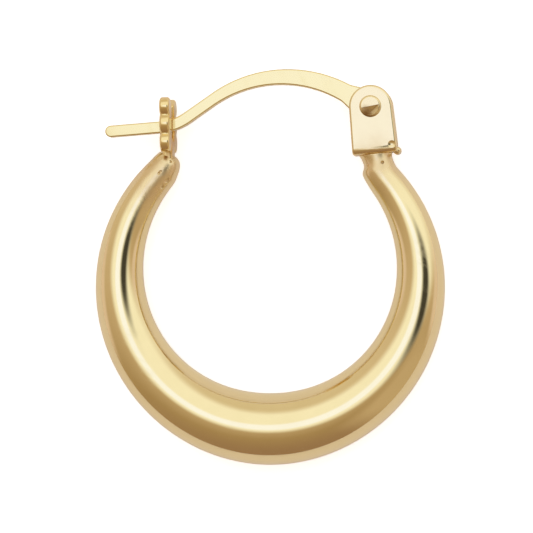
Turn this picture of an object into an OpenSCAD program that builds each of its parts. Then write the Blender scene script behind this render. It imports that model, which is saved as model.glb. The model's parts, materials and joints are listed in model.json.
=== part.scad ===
// Creole hoop earring, lying on its side with the hoop's axis upright. Millimetres.
// The bottom of the hoop points to -Y, the catch is on the left, the hinge on the right.

/* [Hoop tube] */
// outer width of the hoop across its two sides
hoop_w = 15; // [14.6:0.1:17]
// thickness of the tube at the bottom of the hoop
tube_bottom_d = 3.07; // [2.6:0.01:3.3]
// thickness of the tube where its ends begin
tube_end_d = 1.4; // [1.3:0.01:1.5]
// angle from the bottom of the hoop to the rounded catch end
catch_angle = 136; // [134:0.5:137]
// angle from the bottom of the hoop to where the tube turns up into the neck
neck_angle = 131; // [129:0.5:132]
// angle over which the taper sets in, either side of the bottom
taper_start = 23.4; // [15:0.1:30]
// wall of the hollow tube
tube_wall = 0.2; // [0.15:0.01:0.25]

/* [Catch plate] */
// thickness of the plate, along the ear wire
plate_t = 0.43; // [0.35:0.01:0.5]
// distance of the plate to the right of the tube's end
plate_shift = 0.16; // [0.1:0.01:0.25]
// height of its prongs above the middle of the tube's end
plate_top = 3.03; // [2.9:0.01:3.15]
// lean of the plate to the left
plate_lean = 0.9; // [0:0.1:3]
// half of the plate's depth at the widest lobe
plate_half = 1.3; // [1.2:0.01:1.4]
// width of the open slot that the ear wire drops into
slot_w = 0.7; // [0.68:0.01:0.8]
// height of the slot's floor above the middle of the tube's end
slot_floor = 1.22; // [1.15:0.01:1.3]
// half of the depth of the foot that is soldered to the tube
foot_half = 0.48; // [0.4:0.01:0.6]

/* [Neck] */
// length of the neck, from the middle of the tube to the bracket's underside
neck_l = 1.07; // [1:0.01:1.2]
// lean of the neck to the left
neck_lean = 17.3; // [14:0.1:20]
// thickness of the neck at its waist
neck_d = 1.26; // [1.15:0.01:1.35]

/* [Hinge bracket] */
// lean of the bracket to the left
bracket_lean = 5.5; // [3:0.1:8]
// distance from the rivet to the bracket's underside
ear_drop = 2.01; // [1.9:0.01:2.1]
// radius of the rounded top of the two ears
ear_r = 0.91; // [0.88:0.01:0.95]
// width of the bracket at its underside
bracket_foot_w = 1.92; // [1.88:0.01:2]
// thickness of each ear
ear_t = 0.4; // [0.35:0.01:0.45]
// gap between the two ears
ear_gap = 0.66; // [0.64:0.01:0.7]
// thickness of the bracket's floor
floor_t = 0.34; // [0.3:0.01:0.38]
// radius of the fold between each ear and the floor
fold_r = 0.29; // [0.15:0.01:0.32]
// radius of the rounded lip of the floor, on the outer side
lip_r = 0.17; // [0.12:0.01:0.18]

/* [Hinge rivet] */
// thickness of the rivet's pin
pin_d = 0.66; // [0.6:0.01:0.7]
// width of the two rivet heads
head_d = 0.92; // [0.88:0.01:0.96]
// height of each head
head_h = 0.16; // [0.12:0.01:0.2]
// rounding of each head's rim
head_round = 0.1; // [0.06:0.01:0.11]
// gap between the rivet and the bracket
rivet_gap = 0.01; // [0.005:0.005:0.02]
// running clearance of the ear wire on the pin
eye_play = 0.03; // [0.02:0.01:0.04]

/* [Ear wire] */
// depth of the flat wire, across the hoop plane
wire_t = 0.6; // [0.56:0.01:0.62]
// height of the wire at its tail
tail_h = 0.5; // [0.44:0.01:0.54]
// height of the wire in its straight leg
leg_h = 0.49; // [0.46:0.01:0.56]
// height of the wire where the arch ends, before the eye
arch_end_h = 0.79; // [0.7:0.01:0.84]
// diameter of the eye on the rivet
eye_d = 1.6; // [1.5:0.01:1.7]
// radius of the arch
arch_r = 5.35; // [5.2:0.05:5.6]
// slope of the wire where it leaves the rivet
arch_start_angle = 29; // [27:0.5:31]
// length of the straight run from the rivet to the arch
arch_run = 1.31; // [1.2:0.01:1.4]
// distance of the bend to the right of the tube's end
bend_in = 0.47; // [0.44:0.01:0.55]
// height of the bend above the middle of the tube's end
bend_rise = 1.85; // [1.75:0.01:1.9]
// radius of the bend between the tail and the leg
bend_r = 2.3; // [1.6:0.1:2.6]
// length of the straight tail, from the bend to its round tip
tail_l = 2.8; // [2.4:0.02:3]
// droop of the tail towards its tip
tail_droop = 4.5; // [3:0.1:6]

/* [Hidden] */
$fn = 48;
body_color = [0.88, 0.72, 0.42];
finding_color = [0.93, 0.83, 0.58];

outer_sides = 36;
outer_rings = 89;
void_sides = 20;
void_rings = 54;
bend_steps = 8;
arch_steps = 20;
flare_steps = 8;
tip_steps = 12;
cut_over = 1;

mid_z = tube_bottom_d / 2;
ring_r = hoop_w / 2 - tube_r(90);

// how the catch end of a tube 1.4 thick rounds off:
// [distance past its start, shift outwards, radius]
table_end_d = 1.4;
catch_end_table = [
    [0.7, 0, 0.08],
    [0.66, 0.05, 0.24],
    [0.58, 0.09, 0.4],
    [0.45, 0.12, 0.54],
    [0.31, 0.1, 0.61],
    [0.16, 0.07, 0.65],
    [0.02, 0.035, 0.685]
];

// the rounded end starts this angle before the catch angle,
// and the hollow stops this angle before the neck
end_angle = 1.5;
void_short_angle = 1;

// how the neck narrows: [distance below the bracket, shift outwards, half width, half depth]
neck_table = [
    [0.69, -0.09, 0.75, 0.69],
    [0.56, -0.06, 0.7, 0.665],
    [0.44, -0.02, 0.65, 0.64],
    [0.34, 0, neck_d / 2, 0.62],
    [0.22, 0, neck_d / 2 + 0.01, 0.61],
    [0.11, 0, neck_d / 2 + 0.03, 0.61],
    [0.04, 0, neck_d / 2 + 0.07, 0.61],
    [-0.05, 0, neck_d / 2 + 0.12, 0.61]
];

// length below the bracket over which the neck turns to the bracket's lean
neck_turn_l = 0.34;

// lobes of the catch plate's scalloped edge, from the top down:
// [distance of their middle from the widest point, height of their middle, radius]
lobe_table = [
    [0.42, plate_top - 0.39, 0.41],
    [0.52, plate_top - 1.12, 0.52],
    [0.44, plate_top - 1.89, 0.43]
];

// the rest of the catch plate, measured up from the middle of the tube's left end
core_half = plate_half - 0.42;
core_low = plate_top - 2.19;
core_high = plate_top - 0.24;
foot_low = 0.2;
foot_high = plate_top - 1.95;
catch_end = ring_middle(-catch_angle);

// underside of the bracket, and the rivet above it
bracket_foot = ring_middle(neck_angle) + neck_l * [-sin(neck_lean), cos(neck_lean)];
rivet_pos = bracket_foot + ear_drop * [-sin(bracket_lean), cos(bracket_lean)];
bracket_half = ear_gap / 2 + ear_t;
lip_in = 0.03;
lip_drop = 0.12;
pin_overlap = 0.02;

// path of the ear wire
arch_start = rivet_pos + arch_run * [-cos(arch_start_angle), sin(arch_start_angle)];
arch_mid = arch_start - arch_r * [sin(arch_start_angle), cos(arch_start_angle)];
bend_pos = catch_end + [bend_in, bend_rise];
bend_to_mid = arch_mid - bend_pos;
leg_angle = atan2(bend_to_mid[1], bend_to_mid[0]) + asin(arch_r / norm(bend_to_mid));
tip_pos = bend_pos - tail_l * [cos(tail_droop), sin(tail_droop)];
bend_run = bend_r * tan((leg_angle - tail_droop) / 2);
bend_start = bend_pos - bend_run * [cos(tail_droop), sin(tail_droop)];
bend_mid = bend_start + bend_r * [-sin(tail_droop), cos(tail_droop)];
arch_end_gain = (arch_end_h - leg_h) / (leg_angle + arch_start_angle);

// the wire widens to just inside the eye, with a soft start
flare_inset = 0.05;
flare_soft = 0.1;
flare_gain = (eye_d - arch_end_h) / 2 - flare_inset;

// the model is moved so that its box stands with the middle of its underside at the origin
arch_top = arch_mid[1] + arch_r + (leg_h + arch_end_gain * leg_angle) / 2;
hoop_low = -ring_r - tube_bottom_d / 2;
shift_y = -(arch_top + hoop_low) / 2;

// radius of the tube at an angle from the bottom: even taper, with a soft start at the bottom
function taper_way(a) = sqrt(a * a + taper_start * taper_start) - taper_start;
function tube_r(a) =
    tube_bottom_d / 2
    - (tube_bottom_d - tube_end_d) / 2 * taper_way(a) / taper_way(catch_angle);

// middle of the tube at an angle from the bottom
function ring_middle(a) = ring_r * [sin(a), -cos(a)];

// a ring of the tube's skin: [middle, angle, half width, half depth]
function tube_ring(a, inset) =
    [ring_middle(a), a, tube_r(a) - inset, tube_r(a) - inset];
function tube_rings(from, to, count, inset) =
    [for (i = [0 : count]) tube_ring(from + (to - from) * i / count, inset)];
function catch_end_rings() =
    [for (row = catch_end_table)
        let (a = -catch_angle, size = tube_end_d / table_end_d)
        [catch_end - row[0] * size * [cos(a), sin(a)] + row[1] * size * [sin(a), -cos(a)],
            a, row[2] * size, row[2] * size]];
function neck_rings() =
    [for (row = neck_table)
        let (a = 90 + neck_lean, turned = min(max(1 - row[0] / neck_turn_l, 0), 1))
        [bracket_foot - row[0] * [cos(a), sin(a)] + row[1] * [sin(a), -cos(a)],
            a - (neck_lean - bracket_lean) * turned, row[2], row[3]]];

function ring_points(ring, sides) =
    let (middle = ring[0], a = ring[1])
    [for (i = [0 : sides - 1])
        let (t = 360 * i / sides, out = ring[2] * cos(t))
        [middle[0] + out * sin(a), middle[1] - out * cos(a), ring[3] * sin(t)]];

function reversed(list) = [for (i = [len(list) - 1 : -1 : 0]) list[i]];

module swept_tube(rings, sides) {
    last = (len(rings) - 1) * sides;
    polyhedron(
        points = [for (ring = rings) each ring_points(ring, sides)],
        faces = concat(
            [for (j = [0 : len(rings) - 2]) for (i = [0 : sides - 1])
                let (a = j * sides + i, b = j * sides + (i + 1) % sides)
                each [[a, b, a + sides], [b, b + sides, a + sides]]],
            [[for (i = [sides - 1 : -1 : 0]) i]],
            [[for (i = [0 : sides - 1]) last + i]]
        )
    );
}

// tapered tube, from its rounded catch end round the bottom and up into the neck
module hoop_tube() {
    swept_tube(
        concat(
            catch_end_rings(),
            tube_rings(end_angle - catch_angle, neck_angle, outer_rings, 0),
            neck_rings()
        ),
        outer_sides
    );
}

// the hollow inside the tube
module tube_void() {
    swept_tube(
        tube_rings(-catch_angle, neck_angle - void_short_angle, void_rings, tube_wall),
        void_sides
    );
}

// outline of the catch plate, seen along the ear wire
module plate_outline() {
    difference() {
        union() {
            for (side = [-1, 1])
                for (row = lobe_table)
                    translate([side * (plate_half - row[0]), row[1]])
                        circle(r = row[2]);
            translate([-core_half, core_low])
                square([2 * core_half, core_high - core_low]);
            translate([-foot_half, foot_low])
                square([2 * foot_half, foot_high - foot_low]);
        }
        translate([0, slot_floor + slot_w / 2])
            circle(d = slot_w);
        translate([-slot_w / 2, slot_floor + slot_w / 2])
            square([slot_w, plate_top]);
    }
}

module catch_plate() {
    translate([catch_end[0] + plate_shift, catch_end[1], 0])
        rotate(plate_lean)
            rotate([0, 90, 0])
                linear_extrude(plate_t, center = true)
                    plate_outline();
}

// front outline of the bracket, with the rivet at the origin
module bracket_outline() {
    circle(r = ear_r);
    polygon([
        [-ear_r, 0],
        [ear_r, 0],
        [bracket_foot_w / 2, -ear_drop],
        [-bracket_foot_w / 2, -ear_drop]
    ]);
}

// fork of the bracket seen from its side: two ears and the folded floor
module bracket_fork() {
    difference() {
        union() {
            translate([-bracket_half, fold_r - ear_drop])
                square([2 * bracket_half, ear_drop + ear_r]);
            translate([fold_r - bracket_half, -ear_drop])
                square([2 * bracket_half - 2 * fold_r, ear_drop]);
            for (side = [-1, 1])
                translate([side * (bracket_half - fold_r), fold_r - ear_drop])
                    circle(r = fold_r);
        }
        translate([-ear_gap / 2, floor_t - ear_drop])
            square([ear_gap, ear_drop + ear_r + cut_over]);
    }
}

module hinge_bracket() {
    translate([rivet_pos[0], rivet_pos[1], 0])
        rotate(bracket_lean)
            difference() {
                union() {
                    intersection() {
                        linear_extrude(2 * bracket_half + cut_over, center = true)
                            bracket_outline();
                        rotate([0, 90, 0])
                            linear_extrude(2 * bracket_foot_w, center = true)
                                bracket_fork();
                    }
                    translate([bracket_foot_w / 2 - lip_in, lip_r - lip_drop - ear_drop, 0])
                        cylinder(r = lip_r, h = 2 * (bracket_half - fold_r), center = true);
                }
                cylinder(d = pin_d + 2 * rivet_gap, h = 2 * bracket_half + cut_over, center = true);
            }
}

// tube with its neck, catch plate and bracket are soldered together
module hoop_body() {
    color(body_color)
        translate([0, shift_y, mid_z])
            difference() {
                union() {
                    hoop_tube();
                    catch_plate();
                    hinge_bracket();
                }
                tube_void();
            }
}

// peened head: a low button with a rounded rim
module rivet_head() {
    rotate_extrude() {
        square([head_d / 2 - head_round, head_h]);
        square([head_d / 2, head_h - head_round]);
        intersection() {
            translate([head_d / 2 - head_round, head_h - head_round])
                circle(r = head_round);
            square([head_d, head_h]);
        }
    }
}

module hinge_rivet() {
    color(finding_color)
        translate([rivet_pos[0], rivet_pos[1] + shift_y, mid_z]) {
            cylinder(d = pin_d, h = 2 * (bracket_half + rivet_gap + pin_overlap), center = true);
            for (side = [0, 1])
                mirror([0, 0, side])
                    translate([0, 0, bracket_half + rivet_gap])
                        rivet_head();
        }
}

function flare_way(part) = sqrt(part * part + flare_soft * flare_soft) - flare_soft;

// points along the middle of the wire, from its bend to the rivet:
// [middle, direction, half of the height there]
function wire_stations() = concat(
    [for (k = [0 : bend_steps])
        let (a = tail_droop + (leg_angle - tail_droop) * k / bend_steps)
        [bend_mid + bend_r * [sin(a), -cos(a)], a, leg_h / 2]],
    [for (k = [0 : arch_steps])
        let (a = leg_angle - (leg_angle + arch_start_angle) * k / arch_steps)
        [arch_mid + arch_r * [-sin(a), cos(a)], a,
            (leg_h + arch_end_gain * (leg_angle - a)) / 2]],
    [for (k = [1 : flare_steps])
        let (part = k / flare_steps)
        [arch_start + (rivet_pos - arch_start) * part, -arch_start_angle,
            arch_end_h / 2 + flare_gain * flare_way(part) / flare_way(1)]]
);

// one edge of the wire; side is 1 for the upper and -1 for the lower edge
function wire_edge(side) =
    concat(
        [for (k = [max(0, -side) : tip_steps / 2 - 1])
            let (a = side * (180 - 180 * k / tip_steps) + tail_droop)
            tip_pos + tail_h / 2 * [cos(a), sin(a)]],
        [tip_pos + side * tail_h / 2 * [-sin(tail_droop), cos(tail_droop)]],
        [for (s = wire_stations())
            s[0] + side * s[2] * [-sin(s[1]), cos(s[1])]]
    );

module ear_wire() {
    color(finding_color)
        translate([0, shift_y, mid_z])
            difference() {
                linear_extrude(wire_t, center = true) {
                    polygon(concat(wire_edge(-1), reversed(wire_edge(1))));
                    translate(rivet_pos)
                        circle(d = eye_d);
                }
                translate([rivet_pos[0], rivet_pos[1], 0])
                    cylinder(d = pin_d + 2 * eye_play, h = wire_t + cut_over, center = true);
            }
}

hoop_body();
ear_wire();
hinge_rivet();
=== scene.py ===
import json
import math

import bpy
from mathutils import Matrix, Vector


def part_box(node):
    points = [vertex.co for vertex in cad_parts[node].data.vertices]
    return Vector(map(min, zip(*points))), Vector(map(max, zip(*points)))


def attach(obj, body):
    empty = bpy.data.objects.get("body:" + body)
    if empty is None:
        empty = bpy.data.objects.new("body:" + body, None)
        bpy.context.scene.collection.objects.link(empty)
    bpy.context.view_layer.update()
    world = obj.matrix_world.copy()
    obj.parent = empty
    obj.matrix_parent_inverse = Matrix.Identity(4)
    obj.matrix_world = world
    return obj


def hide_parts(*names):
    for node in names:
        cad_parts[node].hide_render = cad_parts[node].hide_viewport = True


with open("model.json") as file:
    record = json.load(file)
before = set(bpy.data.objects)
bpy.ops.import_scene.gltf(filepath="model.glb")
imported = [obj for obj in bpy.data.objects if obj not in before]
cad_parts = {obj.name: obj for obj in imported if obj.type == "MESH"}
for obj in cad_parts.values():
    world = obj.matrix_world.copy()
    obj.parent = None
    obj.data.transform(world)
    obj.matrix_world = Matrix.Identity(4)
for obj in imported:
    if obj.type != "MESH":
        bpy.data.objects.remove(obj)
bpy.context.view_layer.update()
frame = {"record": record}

scene = bpy.context.scene
MM = 0.001
close_enough = 0.001 * MM

# Places taken from the frame
body_low, body_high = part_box("hoop_body")
mid_z = (body_low.z + body_high.z) / 2
rivet = Vector(frame["record"]["behaviour"]["joints"][0]["pos_m"])

# All sizes are in millimetres, and angles in degrees

# Hoop tube; its angles count from the bottom of the hoop
hoop_w = 15
tube_bottom_d = 3.07
tube_end_d = 1.4
catch_angle = 136
neck_angle = 131
taper_start = 23.4
tube_sides = 24
tube_step_angle = 3.4
first_ring_gap = 1.5

# Catch plate; a lobe is (inset from its side, drop from its top, radius), the highest first
plate_t = 0.43
plate_shift = 0.16
plate_top = 3.03
plate_lean = 0.9
plate_half = 1.3
slot_w = 0.7
slot_floor = 1.22
plate_lobes = [(0.42, 0.39, 0.41), (0.52, 1.12, 0.52), (0.44, 1.89, 0.43)]
top_lobe_end = 118
prong_corner_r = 0.15
prong_corner_drop = 0.34
prong_corner_start = 105
foot_half = 0.48
foot_low = 0.2
foot_fillet_r = 0.1
foot_fillet_low = 0.36
plate_edge = 0.11

# Neck
neck_l = 1.07
neck_lean = 17.3
neck_d = 1.26
neck_turn_l = 0.34

# Dents; each is a ball's (middle, radius), its middle counted from the bracket's foot, from
# the catch end and from the rivet
neck_dents = [((0.3, -0.38, 0.56), 0.08)]
end_dents = [
    ((-0.17, -0.19, 0.73), 0.06),
    ((-0.1, -0.12, 0.73), 0.06),
    ((0.247, -0.563, 0.726), 0.25),
    ((-0.002, -0.824, 0.65), 0.15),
    ((-0.594, 0.325, 0.611), 0.2),
]
bracket_dents = [((0.75, -1.69, 1.09), 0.4)]

# Hinge bracket
bracket_lean = 5.5
ear_drop = 2.01
ear_r = 0.91
bracket_foot_w = 1.92
ear_t = 0.4
ear_gap = 0.66
floor_t = 0.34
fold_r = 0.29
fold_profile = 0.58
lip_r = 0.17
lip_in = 0.03
lip_drop = 0.12
bracket_edge = 0.09
lip_edge = 0.14

# Hinge rivet
pin_d = 0.66
head_d = 0.92
head_h = 0.16
rim_round = 0.09
rim_seam = 0.004
facet_line_lean = 0.2
facet_slope = 7
facet_step = 0.018
facet_ramp = 0.02
rivet_gap = 0.01
eye_play = 0.03

# Ear wire
wire_t = 0.6
tail_h = 0.5
leg_h = 0.49
arch_end_h = 0.79
eye_d = 1.6
arch_r = 5.35
arch_start_angle = 29
arch_run = 1.31
bend_in = 0.47
bend_rise = 1.85
bend_r = 2.3
bend_steps = 16
arch_steps = 20
flare_inset = 0.05
flare_soft = 0.1
flare_end = 0.62
flare_steps = 16
tail_l = 2.8
tail_droop = 4.5
wire_edge_r = 0.06

# Length of the cutting tools, more than any metal they cut through
tool_l = 4

# The camera, its distance and the width it sees
camera_tilt = 6
camera_distance = 110
view_middle = Vector((-0.12, 0.034))
view_width = 22.81

# The stage, in metres and watts
floor_size = 4
floor_glow = 0.6
light_height = 0.3
light_size = 0.3
light_power = 0.26


def sin(degrees):
    return math.sin(math.radians(degrees))


def cos(degrees):
    return math.cos(math.radians(degrees))


def heading(degrees):
    """A step of length 1 in that direction."""
    return Vector((cos(degrees), sin(degrees)))


def left_of(degrees):
    """A step of length 1 to the left of that direction."""
    return Vector((-sin(degrees), cos(degrees)))


def taper_way(angle):
    """How far the taper has come at an angle; it sets in softly round the bottom."""
    return math.hypot(angle, taper_start) - taper_start


def tube_r(angle):
    taper = (tube_bottom_d - tube_end_d) / 2
    return tube_bottom_d / 2 - taper * taper_way(angle) / taper_way(catch_angle)


# The hoop is widest at 90 degrees from its bottom
ring_r = hoop_w / 2 - tube_r(90)
hoop_mid = Vector((0, body_low.y / MM + ring_r + tube_bottom_d / 2))


def ring_middle(angle):
    """The middle of the tube at an angle."""
    return hoop_mid - left_of(angle) * ring_r


catch_end = ring_middle(-catch_angle)
bracket_foot = ring_middle(neck_angle) + neck_l * left_of(neck_lean)
rivet_mid = Vector((rivet.x, rivet.y)) / MM


def on_mid_plane(point, z=0.0):
    """A point's place in metres, z millimetres above the middle of the hoop's depth."""
    return (point.x * MM, point.y * MM, mid_z + z * MM)


# Modelling steps that several pieces share

def start_fresh():
    bpy.ops.object.select_all(action="DESELECT")


def named(name):
    piece = bpy.context.object
    piece.name = name
    piece.data.name = name
    return piece


def select_only(piece):
    start_fresh()
    piece.select_set(True)
    bpy.context.view_layer.objects.active = piece


def apply_modifier(piece, kind, **values):
    select_only(piece)
    modifier = piece.modifiers.new(kind.title(), kind)
    for key, value in values.items():
        setattr(modifier, key, value)
    bpy.ops.object.modifier_apply(modifier=modifier.name)


def cut(piece, tool, how="DIFFERENCE"):
    apply_modifier(piece, "BOOLEAN", operation=how, object=tool, solver="EXACT")
    bpy.data.objects.remove(tool)


def smooth(piece, angle):
    select_only(piece)
    bpy.ops.object.shade_smooth_by_angle(angle=math.radians(angle))


def smooth_flat(piece, angle=35):
    """Smooth shading that leaves the large faces truly flat between their round edges."""
    smooth(piece, angle)
    apply_modifier(piece, "WEIGHTED_NORMAL", keep_sharp=True, weight=100)


def place(piece, matrix):
    """Turns and moves a piece that was drawn at the origin, and settles it in its mesh."""
    select_only(piece)
    piece.matrix_world = matrix
    bpy.ops.object.transform_apply(location=True, rotation=True, scale=True)


def edit_all(piece):
    """Opens the piece's mesh with every corner selected."""
    select_only(piece)
    bpy.ops.object.mode_set(mode="EDIT")
    bpy.ops.mesh.select_mode(type="VERT")
    bpy.ops.mesh.select_all(action="SELECT")


def close_edit():
    bpy.ops.object.mode_set(mode="OBJECT")


def face_outwards(piece):
    edit_all(piece)
    bpy.ops.mesh.normals_make_consistent(inside=False)
    close_edit()


def turn_selected(degrees, centre):
    bpy.ops.transform.rotate(
        value=-math.radians(degrees), orient_axis="Z", center_override=centre
    )


def sweep(name, rings, sides):
    """A round bar: a disc at the first ring, pulled on from ring to ring.

    A ring is (middle, angle, half width, half depth), in millimetres. The smoothing draws
    the bar in by a known share, so its first ring is made larger by as much.
    """
    shrink = (2 + math.cos(2 * math.pi / sides)) / 3
    start_fresh()
    middle, angle, width, depth = rings[0]
    bpy.ops.mesh.primitive_circle_add(
        vertices=sides,
        radius=width / shrink * MM,
        fill_type="NGON",
        location=on_mid_plane(middle),
        rotation=(math.radians(90), 0, math.radians(angle - 90)),
    )
    piece = named(name)
    bpy.ops.object.transform_apply(location=True, rotation=True, scale=True)
    edit_all(piece)
    for ring in rings[1:]:
        step = ring[0] - middle
        bpy.ops.mesh.extrude_region_move(
            TRANSFORM_OT_translate={"value": (step.x * MM, step.y * MM, 0)}
        )
        centre = on_mid_plane(ring[0])
        turn_selected(ring[1] - angle, centre)
        wider = ring[2] / width
        bpy.ops.transform.resize(
            value=(wider, wider, ring[3] / depth), center_override=centre
        )
        middle, angle, width, depth = ring
    close_edit()
    face_outwards(piece)
    apply_modifier(piece, "SUBSURF", levels=2, render_levels=2)
    smooth(piece, 180)
    return piece


def arc(middle, radius, start, end, steps):
    """Points of an arc from one angle to another."""
    turn = (end - start) / steps
    return [middle + radius * heading(start + turn * k) for k in range(steps + 1)]


def draw_line(name, points):
    """A line on the plane z = 0: one corner, pulled on from point to point."""
    start_fresh()
    first = points[0]
    bpy.ops.mesh.primitive_plane_add(size=MM, location=(first.x * MM, first.y * MM, 0))
    piece = named(name)
    bpy.ops.object.transform_apply(location=True, rotation=True, scale=True)
    edit_all(piece)
    bpy.ops.mesh.merge(type="CENTER")
    for here, there in zip(points, points[1:]):
        step = there - here
        bpy.ops.mesh.extrude_region_move(
            TRANSFORM_OT_translate={"value": (step.x * MM, step.y * MM, 0)}
        )
    close_edit()
    return piece


def make_plate(name, outline, thickness):
    """A plate with that outline; its middle is at z = 0."""
    piece = draw_line(name, outline)
    edit_all(piece)
    bpy.ops.mesh.edge_face_add()
    bpy.ops.transform.translate(value=(0, 0, -thickness * MM / 2))
    bpy.ops.mesh.extrude_region_move(
        TRANSFORM_OT_translate={"value": (0, 0, thickness * MM)}
    )
    close_edit()
    face_outwards(piece)
    return piece


def round_edges(piece, radius, segments, angle=40):
    apply_modifier(
        piece,
        "BEVEL",
        width=radius * MM,
        segments=segments,
        limit_method="ANGLE",
        angle_limit=math.radians(angle),
        use_clamp_overlap=False,
    )


# Hoop tube with its rounded catch end and its neck

def hoop_tube_rings():
    # distance past the catch end, shift outwards, radius
    catch_end_table = [
        (0.7, 0.0, 0.08),
        (0.68, 0.04, 0.22),
        (0.6, 0.09, 0.4),
        (0.47, 0.12, 0.54),
        (0.32, 0.1, 0.61),
        (0.16, 0.07, 0.65),
        (0.02, 0.035, 0.685),
    ]
    # distance below the bracket, shift outwards, half width, half depth
    waist = neck_d / 2
    neck_table = [
        (0.69, -0.09, 0.75, 0.69),
        (0.56, -0.06, 0.7, 0.665),
        (0.44, -0.02, 0.65, 0.64),
        (neck_turn_l, 0.0, waist, 0.62),
        (0.22, 0.0, waist + 0.01, 0.61),
        (0.11, 0.0, waist + 0.03, 0.61),
        (0.04, 0.0, waist + 0.07, 0.61),
        (-0.05, 0.0, waist + 0.12, 0.61),
    ]
    rings = []
    for past, outwards, radius in catch_end_table:
        middle = catch_end - past * heading(-catch_angle)
        middle -= outwards * left_of(-catch_angle)
        rings.append((middle, -catch_angle, radius, radius))
    first = first_ring_gap - catch_angle
    steps = round((neck_angle - first) / tube_step_angle)
    for k in range(steps + 1):
        angle = first + (neck_angle - first) * k / steps
        rings.append((ring_middle(angle), angle, tube_r(angle), tube_r(angle)))
    neck_heading = 90 + neck_lean
    for below, outwards, width, depth in neck_table:
        middle = bracket_foot - below * heading(neck_heading)
        middle -= outwards * left_of(neck_heading)
        turned = (neck_lean - bracket_lean) * min(max(1 - below / neck_turn_l, 0), 1)
        rings.append((middle, neck_heading - turned, width, depth))
    return rings


def press_dents(piece, start, dents):
    """Cuts balls out of the piece; their middles are counted from start, a place in metres."""
    for middle, radius in dents:
        start_fresh()
        bpy.ops.mesh.primitive_uv_sphere_add(
            segments=32,
            ring_count=16,
            radius=radius * MM,
            location=Vector(start) + Vector(middle) * MM,
        )
        ball = named("ball")
        smooth(ball, 180)
        cut(piece, ball)


def make_hoop_tube():
    piece = sweep("hoop_tube", hoop_tube_rings(), tube_sides)
    press_dents(piece, on_mid_plane(bracket_foot), neck_dents)
    press_dents(piece, on_mid_plane(catch_end), end_dents)
    return piece


# Catch plate

def circles_meet(middle_a, radius_a, middle_b, radius_b):
    """The right-hand crossing of two circles that stand one above the other."""
    between = middle_b - middle_a
    far = between.length
    along = (far * far + radius_a * radius_a - radius_b * radius_b) / (2 * far)
    across = math.sqrt(radius_a * radius_a - along * along)
    unit = between / far
    return middle_a + along * unit + across * Vector((-unit.y, unit.x))


def angle_at(middle, point):
    return math.degrees(math.atan2(point.y - middle.y, point.x - middle.x))


def plate_half_outline():
    """The right half of the plate, from its foot round to the middle of the slot's floor."""
    (high, high_r), (middle, middle_r), (low, low_r) = [
        (Vector((plate_half - inset, plate_top - drop)), radius)
        for inset, drop, radius in plate_lobes
    ]
    prong_corner = Vector((slot_w / 2 + prong_corner_r, plate_top - prong_corner_drop))
    low_notch = circles_meet(middle, middle_r, low, low_r)
    high_notch = circles_meet(high, high_r, middle, middle_r)
    foot_meets = -180 + math.degrees(math.acos((low.x - foot_half) / low_r))
    slot_mid = Vector((0, slot_floor + slot_w / 2))
    fillet = Vector((foot_half + foot_fillet_r, foot_fillet_low + foot_fillet_r))
    points = [Vector((fillet.x, foot_low))]
    points += arc(fillet, foot_fillet_r, -90, -180, steps=6)
    points += arc(low, low_r, foot_meets, angle_at(low, low_notch), steps=12)
    lower_end = angle_at(middle, low_notch)
    upper_end = angle_at(middle, high_notch)
    points += arc(middle, middle_r, lower_end, upper_end, steps=10)[1:]
    points += arc(high, high_r, angle_at(high, high_notch), top_lobe_end, steps=14)[1:]
    points += arc(prong_corner, prong_corner_r, prong_corner_start, 180, steps=5)
    points += arc(slot_mid, slot_w / 2, 0, -90, steps=8)
    return points


def make_catch_plate():
    right = plate_half_outline()
    left = [Vector((-p.x, p.y)) for p in reversed(right[:-1])]
    piece = make_plate("catch_plate", right + left, plate_t)
    round_edges(piece, plate_edge, segments=5, angle=60)
    middle = Vector((catch_end.x + plate_shift, catch_end.y, 0)) * MM
    middle.z = mid_z
    upright = Matrix(((0, 0, 1), (0, 1, 0), (-1, 0, 0))).to_4x4()
    lean = Matrix.Rotation(math.radians(plate_lean), 4, "Z")
    place(piece, Matrix.Translation(middle) @ lean @ upright)
    smooth_flat(piece, 50)
    return piece


# Hinge bracket

def select_long_edges(piece, y, z):
    """Selects the two long edges at that Y and at z above and below 0, and opens the mesh."""
    edit_all(piece)
    bpy.ops.mesh.select_mode(type="EDGE")
    bpy.ops.mesh.select_all(action="DESELECT")
    close_edit()
    points = piece.data.vertices
    for edge in piece.data.edges:
        ends = [points[i].co for i in edge.vertices]
        level = all(
            abs(p.y - y) < close_enough and abs(abs(p.z) - z) < close_enough for p in ends
        )
        if level and abs(ends[0].x - ends[1].x) > bracket_foot_w * MM / 2:
            edge.select = True
    bpy.ops.object.mode_set(mode="EDIT")


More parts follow.
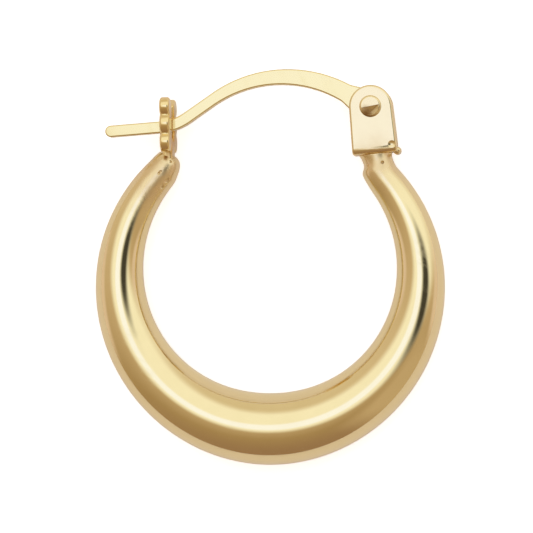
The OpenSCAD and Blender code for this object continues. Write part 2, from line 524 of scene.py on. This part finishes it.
def make_hinge_bracket():
    half = ear_gap / 2 + ear_t
    corner = Vector((bracket_foot_w / 2, -ear_drop))
    points = [Vector((-corner.x, corner.y)), corner]
    points += arc(Vector((0, 0)), ear_r, 0, 180, steps=40)
    piece = make_plate("hinge_bracket", points, 2 * half)
    select_long_edges(piece, -ear_drop * MM, half * MM)
    bpy.ops.mesh.bevel(
        offset=fold_r * MM, segments=14, affect="EDGES", profile=fold_profile
    )
    close_edit()

    # the gap between the ears
    start_fresh()
    gap_low = floor_t - ear_drop
    gap_high = ear_r + tool_l / 4
    bpy.ops.mesh.primitive_cube_add(
        size=MM,
        location=(0, (gap_low + gap_high) / 2 * MM, 0),
        scale=(tool_l, gap_high - gap_low, ear_gap),
    )
    cut(piece, bpy.context.object)
    round_edges(piece, bracket_edge, segments=4)

    # the lip at the lower right
    start_fresh()
    bpy.ops.mesh.primitive_cylinder_add(
        vertices=32,
        radius=lip_r * MM,
        depth=2 * (half - fold_r) * MM,
        location=((corner.x - lip_in) * MM, (corner.y + lip_r - lip_drop) * MM, 0),
    )
    lip = named("lip")
    round_edges(lip, lip_edge, segments=5)
    cut(piece, lip, "UNION")

    # the rivet's hole, and the dent
    start_fresh()
    bpy.ops.mesh.primitive_cylinder_add(
        vertices=48, radius=(pin_d / 2 + rivet_gap) * MM, depth=tool_l * MM
    )
    cut(piece, bpy.context.object)
    press_dents(piece, (0, 0, 0), bracket_dents)
    lean = Matrix.Rotation(math.radians(bracket_lean), 4, "Z")
    place(piece, Matrix.Translation(rivet) @ lean)
    smooth_flat(piece)
    return piece


# Hinge rivet

def select_faces(piece, wanted):
    """Selects the faces for which wanted(middle, normal) is true, and opens the mesh."""
    edit_all(piece)
    bpy.ops.mesh.select_mode(type="FACE")
    bpy.ops.mesh.select_all(action="DESELECT")
    close_edit()
    for face in piece.data.polygons:
        face.select = wanted(face.center, face.normal)
    bpy.ops.object.mode_set(mode="EDIT")


def make_hinge_rivet():
    """The pin and its two heads, each filed to a slope below its middle."""
    base = ear_gap / 2 + ear_t + rivet_gap
    nearly_level = 0.9
    level = 0.9999
    seam_below = -0.3
    cut_above = -0.05

    def outer_end(middle, normal):
        return normal.z > nearly_level and middle.z > base * MM

    def inner_end(middle, normal):
        return normal.z < -nearly_level

    def flat_top(middle, normal):
        return normal.z > level and middle.z > base * MM

    def lower_half(middle, normal):
        """The large face below the cut, without the narrow seam round it."""
        return flat_top(middle, normal) and seam_below < middle.y / MM < cut_above

    start_fresh()
    bpy.ops.mesh.primitive_cylinder_add(
        vertices=64, radius=head_d / 2 * MM, depth=head_h * MM
    )
    piece = named("peened_rivet")
    place(piece, Matrix.Translation((0, 0, (base + head_h / 2) * MM)))

    # the pin
    select_faces(piece, inner_end)
    bpy.ops.mesh.inset(thickness=(head_d - pin_d) / 2 * MM)
    bpy.ops.mesh.extrude_region_move(TRANSFORM_OT_translate={"value": (0, 0, -base * MM)})
    bpy.ops.mesh.delete(type="FACE")
    close_edit()

    # the rounded rim
    select_faces(piece, outer_end)
    bpy.ops.mesh.bevel(offset=rim_round * MM, segments=6, affect="EDGES")
    close_edit()

    # the flat top, cut in two
    select_faces(piece, flat_top)
    bpy.ops.mesh.inset(thickness=rim_seam * MM)
    bpy.ops.mesh.bisect(
        plane_co=(0, 0, 0), plane_no=(-facet_line_lean, 1, 0), threshold=close_enough / 10
    )
    close_edit()

    # its lower half, set down and filed to a slope
    select_faces(piece, lower_half)
    bpy.ops.mesh.inset(thickness=facet_ramp * MM)
    bpy.ops.transform.translate(value=(0, 0, -facet_step * MM))
    bpy.ops.transform.rotate(
        value=-math.radians(facet_slope),
        orient_axis="X",
        center_override=(0, 0, (base + head_h - facet_step) * MM),
    )
    close_edit()

    # the other head
    apply_modifier(
        piece, "MIRROR", use_axis=(False, False, True), merge_threshold=close_enough
    )
    face_outwards(piece)
    place(piece, Matrix.Translation(rivet))
    smooth_flat(piece, 40)
    return piece


# Ear wire

def wire_outline():
    """The outline: a round tip, the tail, the bend, the arch, and the eye at its end."""
    arch_start = rivet_mid + arch_run * heading(180 - arch_start_angle)
    arch_mid = arch_start - arch_r * left_of(-arch_start_angle)
    bend = catch_end + Vector((bend_in, bend_rise))
    to_mid = arch_mid - bend
    leg_angle = math.degrees(math.atan2(to_mid.y, to_mid.x) + math.asin(arch_r / to_mid.length))
    tip = bend - tail_l * heading(tail_droop)
    gain = (arch_end_h - leg_h) / (leg_angle + arch_start_angle)

    def flare_way(part):
        return math.hypot(part, flare_soft) - flare_soft

    bend_run = bend_r * math.tan(math.radians(leg_angle - tail_droop) / 2)
    bend_start = bend - bend_run * heading(tail_droop)
    bend_mid = bend_start + bend_r * left_of(tail_droop)
    stations = []
    for k in range(bend_steps + 1):
        slope = tail_droop + (leg_angle - tail_droop) * k / bend_steps
        stations.append((bend_mid - bend_r * left_of(slope), slope, leg_h / 2))
    for k in range(arch_steps + 1):
        slope = leg_angle - (leg_angle + arch_start_angle) * k / arch_steps
        height = leg_h + gain * (leg_angle - slope)
        stations.append((arch_mid + arch_r * left_of(slope), slope, height / 2))
    widening = (eye_d - arch_end_h) / 2 - flare_inset
    for k in range(1, flare_steps + 1):
        part = flare_end * k / flare_steps
        half = arch_end_h / 2 + widening * flare_way(part) / flare_way(1)
        stations.append((arch_start.lerp(rivet_mid, part), -arch_start_angle, half))

    def edge(side):
        points = [tip + side * tail_h / 2 * left_of(tail_droop)]
        points += [middle + side * half * left_of(slope) for middle, slope, half in stations]
        return points

    upper = edge(1)
    lower = edge(-1)
    from_eye = angle_at(rivet_mid, upper[-1])
    to_eye = angle_at(rivet_mid, lower[-1])
    if to_eye > from_eye:
        to_eye -= 360
    eye = arc(rivet_mid, eye_d / 2, from_eye, to_eye, steps=44)
    round_tip = arc(tip, tail_h / 2, tail_droop + 270, tail_droop + 90, steps=14)
    return round_tip[1:-1] + upper + eye[1:-1] + lower[::-1]


def make_ear_wire():
    """The strip, drilled at its eye, with its edges rounded."""
    piece = make_plate("arched_wire", wire_outline(), wire_t)
    start_fresh()
    bpy.ops.mesh.primitive_cylinder_add(
        vertices=48,
        radius=(pin_d / 2 + eye_play) * MM,
        depth=tool_l * MM,
        location=(rivet.x, rivet.y, 0),
    )
    cut(piece, bpy.context.object)
    round_edges(piece, wire_edge_r, segments=4)
    place(piece, Matrix.Translation((0, 0, mid_z)))
    smooth_flat(piece)
    return piece


# Materials

# Scratches, and the marks of soldered metal and of painted shade: heights, core and spread in
# millimetres, lumps to a metre
scratch_depth = 0.001
scratch_strength = 0.3
scratch_roughness = 0.12
solder_lumps = 0.02
solder_roughness = 0.24
solder_grains = 3000
fine_grains = 6000
haze_core = 0.5
haze_spread = 1.2


def new_group(name, inputs, outputs):
    group = bpy.data.node_groups.new(name, "ShaderNodeTree")
    for label, kind, value in inputs:
        socket = group.interface.new_socket(label, in_out="INPUT", socket_type=kind)
        if value is not None:
            socket.default_value = value
    for label, kind in outputs:
        group.interface.new_socket(label, in_out="OUTPUT", socket_type=kind)
    return group


def add(tree, kind, **values):
    node = tree.nodes.new(kind)
    for key, value in values.items():
        setattr(node, key, value)
    return node


def make_scratches():
    """Fine straight polishing scratches that run along one direction."""
    group = new_group(
        "fine_scratches",
        [
            ("Vector", "NodeSocketVector", None),
            ("Spacing", "NodeSocketFloat", 1500),
            ("Share", "NodeSocketFloat", 0.1),
        ],
        [("Height", "NodeSocketFloat"), ("Mask", "NodeSocketFloat")],
    )
    links = group.links
    inside = add(group, "NodeGroupInput")
    outside = add(group, "NodeGroupOutput")
    stretch = add(group, "ShaderNodeVectorMath", operation="MULTIPLY")
    stretch.inputs[1].default_value = (0.03, 1, 1)
    lines = add(group, "ShaderNodeTexNoise")
    lines.inputs["Detail"].default_value = 3
    links.new(inside.outputs["Vector"], stretch.inputs[0])
    links.new(stretch.outputs[0], lines.inputs["Vector"])
    links.new(inside.outputs["Spacing"], lines.inputs["Scale"])
    above = add(group, "ShaderNodeMath", operation="SUBTRACT")
    above.inputs[1].default_value = 0.5
    thin = add(group, "ShaderNodeMath", operation="ABSOLUTE")
    links.new(lines.outputs["Fac"], above.inputs[0])
    links.new(above.outputs[0], thin.inputs[0])
    mask = add(group, "ShaderNodeMapRange")
    mask.inputs["From Min"].default_value = 0
    mask.inputs["To Min"].default_value = 1
    mask.inputs["To Max"].default_value = 0
    links.new(thin.outputs[0], mask.inputs["Value"])
    links.new(inside.outputs["Share"], mask.inputs["From Max"])
    where = add(group, "ShaderNodeTexNoise")
    where.inputs["Scale"].default_value = 900
    patchy = add(group, "ShaderNodeMapRange")
    patchy.inputs["From Min"].default_value = 0.5
    patchy.inputs["From Max"].default_value = 0.7
    both = add(group, "ShaderNodeMath", operation="MULTIPLY")
    links.new(inside.outputs["Vector"], where.inputs["Vector"])
    links.new(where.outputs["Fac"], patchy.inputs["Value"])
    links.new(mask.outputs["Result"], both.inputs[0])
    links.new(patchy.outputs["Result"], both.inputs[1])
    lower = add(group, "ShaderNodeMath", operation="MULTIPLY")
    lower.inputs[1].default_value = -1
    links.new(both.outputs[0], lower.inputs[0])
    links.new(lower.outputs[0], outside.inputs["Height"])
    links.new(both.outputs[0], outside.inputs["Mask"])
    return group


def make_waviness():
    """The slow unevenness that hand polishing leaves in a metal surface."""
    group = new_group(
        "polish_waviness",
        [("Vector", "NodeSocketVector", None), ("Scale", "NodeSocketFloat", 350)],
        [("Height", "NodeSocketFloat"), ("Tone", "NodeSocketFloat")],
    )
    links = group.links
    inside = add(group, "NodeGroupInput")
    outside = add(group, "NodeGroupOutput")
    slow = add(group, "ShaderNodeTexNoise")
    slow.inputs["Detail"].default_value = 2
    slow.inputs["Roughness"].default_value = 0.4
    links.new(inside.outputs["Vector"], slow.inputs["Vector"])
    links.new(inside.outputs["Scale"], slow.inputs["Scale"])
    tone = add(group, "ShaderNodeTexNoise")
    tone.inputs["Scale"].default_value = 1300
    links.new(inside.outputs["Vector"], tone.inputs["Vector"])
    links.new(slow.outputs["Fac"], outside.inputs["Height"])
    links.new(tone.outputs["Fac"], outside.inputs["Tone"])
    return group


def make_solder_and_shade_mask():
    """The duller metal round a soldered joint, also the mask of each patch of painted shade: 1 at
    its middle, 0 past its reach.
    """
    group = new_group(
        "solder_haze_and_painted_shade",
        [
            ("Vector", "NodeSocketVector", None),
            ("Middle", "NodeSocketVector", None),
            ("Reach", "NodeSocketFloat", 1.5 * MM),
        ],
        [("Mask", "NodeSocketFloat")],
    )
    links = group.links
    inside = add(group, "NodeGroupInput")
    outside = add(group, "NodeGroupOutput")
    away = add(group, "ShaderNodeVectorMath", operation="DISTANCE")
    links.new(inside.outputs["Vector"], away.inputs[0])
    links.new(inside.outputs["Middle"], away.inputs[1])
    uneven = add(group, "ShaderNodeTexNoise")
    uneven.inputs["Scale"].default_value = 1500
    links.new(inside.outputs["Vector"], uneven.inputs["Vector"])
    spread = add(group, "ShaderNodeMath", operation="MULTIPLY_ADD")
    spread.inputs[1].default_value = haze_spread * MM
    links.new(uneven.outputs["Fac"], spread.inputs[0])
    links.new(away.outputs["Value"], spread.inputs[2])
    fade = add(group, "ShaderNodeMapRange", interpolation_type="SMOOTHSTEP")
    fade.inputs["From Min"].default_value = haze_core * MM
    fade.inputs["To Min"].default_value = 1
    fade.inputs["To Max"].default_value = 0
    links.new(spread.outputs[0], fade.inputs["Value"])
    links.new(inside.outputs["Reach"], fade.inputs["From Max"])
    links.new(fade.outputs["Result"], outside.inputs["Mask"])
    return group


scratches = make_scratches()
waviness = make_waviness()
solder_and_shade_mask = make_solder_and_shade_mask()


def make_gold(
    name, light, deep, roughness, scratch_turn, wave, grains=solder_grains, joints=()
):
    """Polished gold: two close tones, slow waves, fine scratches, and marks of duller solder and
    of painted shade.

    wave and a mark's reach are in millimetres, grains in lumps to a metre of soldered metal.
    A mark is (middle, reach, tone), its middle a place in metres; its tone is the solder's colour
    at a soldered joint, and painted shade in the recesses and under the rivet heads.
    """
    material = bpy.data.materials.new(name)
    material.use_nodes = True
    tree = material.node_tree
    links = tree.links
    shader = tree.nodes["Principled BSDF"]
    shader.inputs["Metallic"].default_value = 1
    place_on = add(tree, "ShaderNodeTexCoord")
    turned = add(tree, "ShaderNodeMapping")
    turned.inputs["Rotation"].default_value = (0, 0, math.radians(scratch_turn))
    links.new(place_on.outputs["Object"], turned.inputs["Vector"])
    fine = add(tree, "ShaderNodeGroup", node_tree=scratches)
    links.new(turned.outputs["Vector"], fine.inputs["Vector"])
    slow = add(tree, "ShaderNodeGroup", node_tree=waviness)
    links.new(place_on.outputs["Object"], slow.inputs["Vector"])

    # color and roughness, each laid over by every mark: duller solder, and its tone, which at
    # some marks is painted shade
    color = add(tree, "ShaderNodeMix", data_type="RGBA")
    color.inputs["A"].default_value = (*deep, 1)
    color.inputs["B"].default_value = (*light, 1)
    links.new(slow.outputs["Tone"], color.inputs["Factor"])
    tone = color.outputs["Result"]
    rough = add(tree, "ShaderNodeMapRange")
    rough.inputs["To Min"].default_value = roughness
    rough.inputs["To Max"].default_value = roughness + scratch_roughness
    links.new(fine.outputs["Mask"], rough.inputs["Value"])
    dullness = rough.outputs["Result"]
    haze_and_shade_masks = []
    for middle, reach, haze_and_shade_tone in joints:
        haze_and_shade_mask = add(tree, "ShaderNodeGroup", node_tree=solder_and_shade_mask)
        haze_and_shade_mask.inputs["Middle"].default_value = middle
        haze_and_shade_mask.inputs["Reach"].default_value = reach * MM
        links.new(place_on.outputs["Object"], haze_and_shade_mask.inputs["Vector"])
        duller = add(tree, "ShaderNodeMath", operation="MULTIPLY_ADD")
        duller.inputs[1].default_value = solder_roughness
        links.new(haze_and_shade_mask.outputs["Mask"], duller.inputs[0])
        links.new(dullness, duller.inputs[2])
        dullness = duller.outputs[0]
        toward_haze_and_shade_tone = add(tree, "ShaderNodeMix", data_type="RGBA")
        toward_haze_and_shade_tone.inputs["B"].default_value = (*haze_and_shade_tone, 1)
        links.new(haze_and_shade_mask.outputs["Mask"], toward_haze_and_shade_tone.inputs["Factor"])
        links.new(tone, toward_haze_and_shade_tone.inputs["A"])
        tone = toward_haze_and_shade_tone.outputs["Result"]
        haze_and_shade_masks.append(haze_and_shade_mask)
    links.new(tone, shader.inputs["Base Color"])
    links.new(dullness, shader.inputs["Roughness"])

    # waves and scratches everywhere, and lumps under every mark of solder and of painted shade
    waves = add(tree, "ShaderNodeBump")
    waves.inputs["Distance"].default_value = wave * MM
    links.new(slow.outputs["Height"], waves.inputs["Height"])
    scratch = add(tree, "ShaderNodeBump")
    scratch.inputs["Strength"].default_value = scratch_strength
    scratch.inputs["Distance"].default_value = scratch_depth * MM
    links.new(fine.outputs["Height"], scratch.inputs["Height"])
    links.new(waves.outputs["Normal"], scratch.inputs["Normal"])
    if not haze_and_shade_masks:
        links.new(scratch.outputs["Normal"], shader.inputs["Normal"])
        return material
    grainy = add(tree, "ShaderNodeTexNoise")
    grainy.inputs["Scale"].default_value = grains
    grainy.inputs["Detail"].default_value = 3
    links.new(place_on.outputs["Object"], grainy.inputs["Vector"])
    height = None
    for haze_and_shade_mask in haze_and_shade_masks:
        higher = add(tree, "ShaderNodeMath", operation="MULTIPLY_ADD")
        higher.inputs[2].default_value = 0
        links.new(haze_and_shade_mask.outputs["Mask"], higher.inputs[0])
        links.new(grainy.outputs["Fac"], higher.inputs[1])
        if height:
            links.new(height, higher.inputs[2])
        height = higher.outputs[0]
    lumps = add(tree, "ShaderNodeBump")
    lumps.inputs["Distance"].default_value = solder_lumps * MM
    links.new(height, lumps.inputs["Height"])
    links.new(scratch.outputs["Normal"], lumps.inputs["Normal"])
    links.new(lumps.outputs["Normal"], shader.inputs["Normal"])
    return material


# Tones of solder, and painted shade in the catch plate's foot recess, in its slot and under the
# rivet heads
solder_tone = (0.82, 0.65, 0.38)
# painted shade: the dark recess between the catch plate's lowest lobe and the tube's end
recess_shade_tone = (0.55, 0.32, 0.1)
# painted shade: the orange dark inside the catch plate's slot
slot_shade_tone = (0.78, 0.4, 0.05)
shade_tone = (0.28, 0.13, 0.03)

# Soldered places: the foot of the catch plate on both sides, the tube's catch end and the neck;
# painted shade in the recess at the plate's foot, in the plate's slot and under the lower edge of
# each rivet head
plate_foot = catch_end + Vector((plate_shift, 0.6))
slot_side = catch_end.x + plate_shift + 0.25
# painted shade in the recess at the plate's foot, over duller soldered metal
foot_solder_and_shade = [(on_mid_plane(plate_foot, z), 1.0, recess_shade_tone) for z in (0.5, -0.5)]
# painted shade inside the catch plate's slot
slot_shade_marks = [
    (on_mid_plane(Vector((slot_side, catch_end.y + high))), 1.7, slot_shade_tone) for high in (1.4, 2.1)
]
end_joint = (on_mid_plane(catch_end + Vector((-0.3, -0.3)), 0.5), 2.9, solder_tone)
neck_middle = bracket_foot - 0.35 * heading(90 + neck_lean)
neck_joint = (on_mid_plane(neck_middle, 0.5), 2.3, solder_tone)
head_low = rivet_mid - Vector((0, head_d / 2))
# painted shade under the lower edge of each rivet head
head_shade_marks = [(on_mid_plane(head_low, z), 1.2, shade_tone) for z in (-0.8, 0.8)]

plate_gold = make_gold(
    "plate_gold",
    light=(0.89, 0.73, 0.38),
    deep=(0.85, 0.66, 0.31),
    roughness=0.07,
    scratch_turn=65,
    wave=0.003,
    joints=foot_solder_and_shade + slot_shade_marks,
)
hoop_gold = make_gold(
    "hoop_gold",
    light=(0.90, 0.77, 0.45),
    deep=(0.86, 0.73, 0.41),
    roughness=0.08,
    scratch_turn=20,
    wave=0.003,
    joints=[end_joint] + foot_solder_and_shade + [neck_joint],
)
bracket_gold = make_gold(
    "bracket_gold",
    light=(0.87, 0.72, 0.41),
    deep=(0.84, 0.69, 0.38),
    roughness=0.08,
    scratch_turn=20,
    wave=0.003,
    joints=[neck_joint],
)
finding_gold = make_gold(
    "finding_gold",
    light=(0.87, 0.73, 0.36),
    deep=(0.85, 0.70, 0.34),
    roughness=0.1,
    scratch_turn=65,
    wave=0.0015,
)
rivet_gold = make_gold(
    "rivet_gold",
    light=(0.89, 0.75, 0.43),
    deep=(0.84, 0.67, 0.36),
    roughness=0.16,
    scratch_turn=10,
    wave=0.004,
    grains=fine_grains,
    joints=head_shade_marks,
)


def dress(piece, material, body, node):
    """Gives a piece its metal, attaches it to the body it rides on, and hides the CAD part it
    stands for.
    """
    piece.data.materials.clear()
    piece.data.materials.append(material)
    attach(piece, body)
    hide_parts(node)


dress(make_hoop_tube(), hoop_gold, "hoop", "hoop_body")
dress(make_catch_plate(), plate_gold, "hoop", "hoop_body")
dress(make_hinge_bracket(), bracket_gold, "hoop", "hoop_body")
dress(make_hinge_rivet(), rivet_gold, "hoop", "hinge_rivet")
dress(make_ear_wire(), finding_gold, "wire", "ear_wire")


# Floor, light and camera

def make_floor():
    """A plain white table top; its own glow only shows it white behind the object."""
    start_fresh()
    bpy.ops.mesh.primitive_plane_add(size=floor_size, location=(0, 0, 0))
    floor = named("floor")
    material = bpy.data.materials.new("white_floor")
    material.use_nodes = True
    tree = material.node_tree
    shader = tree.nodes["Principled BSDF"]
    shader.inputs["Base Color"].default_value = (0.86, 0.82, 0.83, 1)
    shader.inputs["Roughness"].default_value = 0.6
    shader.inputs["Emission Color"].default_value = (1, 1, 1, 1)
    seen = add(tree, "ShaderNodeLightPath")
    glow = add(tree, "ShaderNodeMath", operation="MULTIPLY")
    glow.inputs[1].default_value = floor_glow
    tree.links.new(seen.outputs["Is Camera Ray"], glow.inputs[0])
    tree.links.new(glow.outputs[0], shader.inputs["Emission Strength"])
    floor.data.materials.append(material)


def make_world():
    """A light tent with a bright opening, one lamp in it, and the dark camera beside it."""
    world = bpy.data.worlds.new("light_tent")
    scene.world = world
    world.use_nodes = True
    tree = world.node_tree
    links = tree.links
    background = tree.nodes["Background"]
    way = add(tree, "ShaderNodeTexCoord")
    parts = add(tree, "ShaderNodeSeparateXYZ")
    links.new(way.outputs["Generated"], parts.inputs[0])

    def soft_patch(middle, half, soft):
        """1 inside an oval patch of the tent, given by X and Y of the way to it, 0 outside."""
        oval = add(tree, "ShaderNodeMapping")
        oval.inputs["Location"].default_value = (-middle[0] / half[0], -middle[1] / half[1], 0)
        oval.inputs["Scale"].default_value = (1 / half[0], 1 / half[1], 0)
        off = add(tree, "ShaderNodeVectorMath", operation="LENGTH")
        fade = add(tree, "ShaderNodeMapRange", interpolation_type="SMOOTHSTEP")
        fade.inputs["From Min"].default_value = 1 - soft
        fade.inputs["From Max"].default_value = 1 + soft
        fade.inputs["To Min"].default_value = 1
        fade.inputs["To Max"].default_value = 0
        links.new(way.outputs["Generated"], oval.inputs["Vector"])
        links.new(oval.outputs["Vector"], off.inputs[0])
        links.new(off.outputs["Value"], fade.inputs["Value"])
        return fade.outputs["Result"]

    def lay_over(below, patch, tone):
        mix = add(tree, "ShaderNodeMix", data_type="RGBA", clamp_factor=True)
        mix.inputs["B"].default_value = (*tone, 1)
        links.new(below, mix.inputs["A"])
        links.new(patch, mix.inputs["Factor"])
        return mix.outputs["Result"]

    # the walls of the tent, from the near horizon over the top to the far horizon
    wall = add(tree, "ShaderNodeValToRGB")
    along = add(tree, "ShaderNodeMapRange")
    along.inputs["From Min"].default_value = -1
    along.inputs["From Max"].default_value = 1
    links.new(parts.outputs["Y"], along.inputs["Value"])
    links.new(along.outputs["Result"], wall.inputs["Fac"])
    tones = [
        (0.0, (0.34, 0.22, 0.145)),
        (0.25, (0.42, 0.3, 0.17)),
        (0.5, (0.6, 0.47, 0.33)),
        (0.75, (0.7, 0.58, 0.45)),
        (1.0, (0.75, 0.66, 0.52)),
    ]
    elements = wall.color_ramp.elements
    while len(elements) < len(tones):
        elements.new(0.5)
    for element, (at, tone) in zip(elements, tones):
        element.position = at
        element.color = (*tone, 1)
    sideways = add(tree, "ShaderNodeMath", operation="ABSOLUTE")
    links.new(parts.outputs["X"], sideways.inputs[0])
    low_sides = add(tree, "ShaderNodeMapRange", interpolation_type="SMOOTHSTEP")
    low_sides.inputs["From Min"].default_value = 0.9
    low_sides.inputs["From Max"].default_value = 0.98
    links.new(sideways.outputs[0], low_sides.inputs["Value"])
    opening = soft_patch(middle=(0.15, 0.35), half=(0.78, 0.5), soft=0.2)
    lamp = soft_patch(middle=(-0.045, 0.135), half=(0.19, 0.15), soft=0.3)
    lens = soft_patch(middle=(0.44, 0.065), half=(0.23, 0.22), soft=0.5)
    far_side = soft_patch(middle=(0.72, -0.55), half=(0.35, 0.3), soft=0.5)
    tent = lay_over(wall.outputs["Color"], low_sides.outputs["Result"], tone=(0.78, 0.64, 0.59))
    tent = lay_over(tent, far_side, tone=(0.58, 0.45, 0.31))
    tent = lay_over(tent, opening, tone=(1.05, 1.06, 1.04))
    tent = lay_over(tent, lamp, tone=(1.12, 1.22, 1.62))
    tent = lay_over(tent, lens, tone=(0.06, 0.058, 0.052))
    links.new(tent, background.inputs["Color"])


def make_light():
    """A soft box that lights the table from above."""
    bpy.ops.object.light_add(type="AREA", location=(0, 0, light_height))
    table_light = bpy.context.object
    table_light.name = "table_light"
    table_light.data.size = light_size
    table_light.data.energy = light_power
    table_light.visible_glossy = False


def make_camera():
    """The photograph's view, from above and a little to the right."""
    tilt = Vector((sin(camera_tilt), 0, cos(camera_tilt)))
    target = Vector(on_mid_plane(view_middle))
    bpy.ops.object.camera_add(location=target + tilt * camera_distance * MM)
    camera = bpy.context.object
    camera.name = "camera"
    camera.rotation_euler = (0, math.radians(camera_tilt), 0)
    camera.data.lens = camera.data.sensor_width * camera_distance / view_width
    camera.data.clip_start = 0.001
    camera.data.clip_end = 10
    scene.camera = camera


make_floor()
make_world()
make_light()
make_camera()
scene.view_settings.view_transform = "Standard"
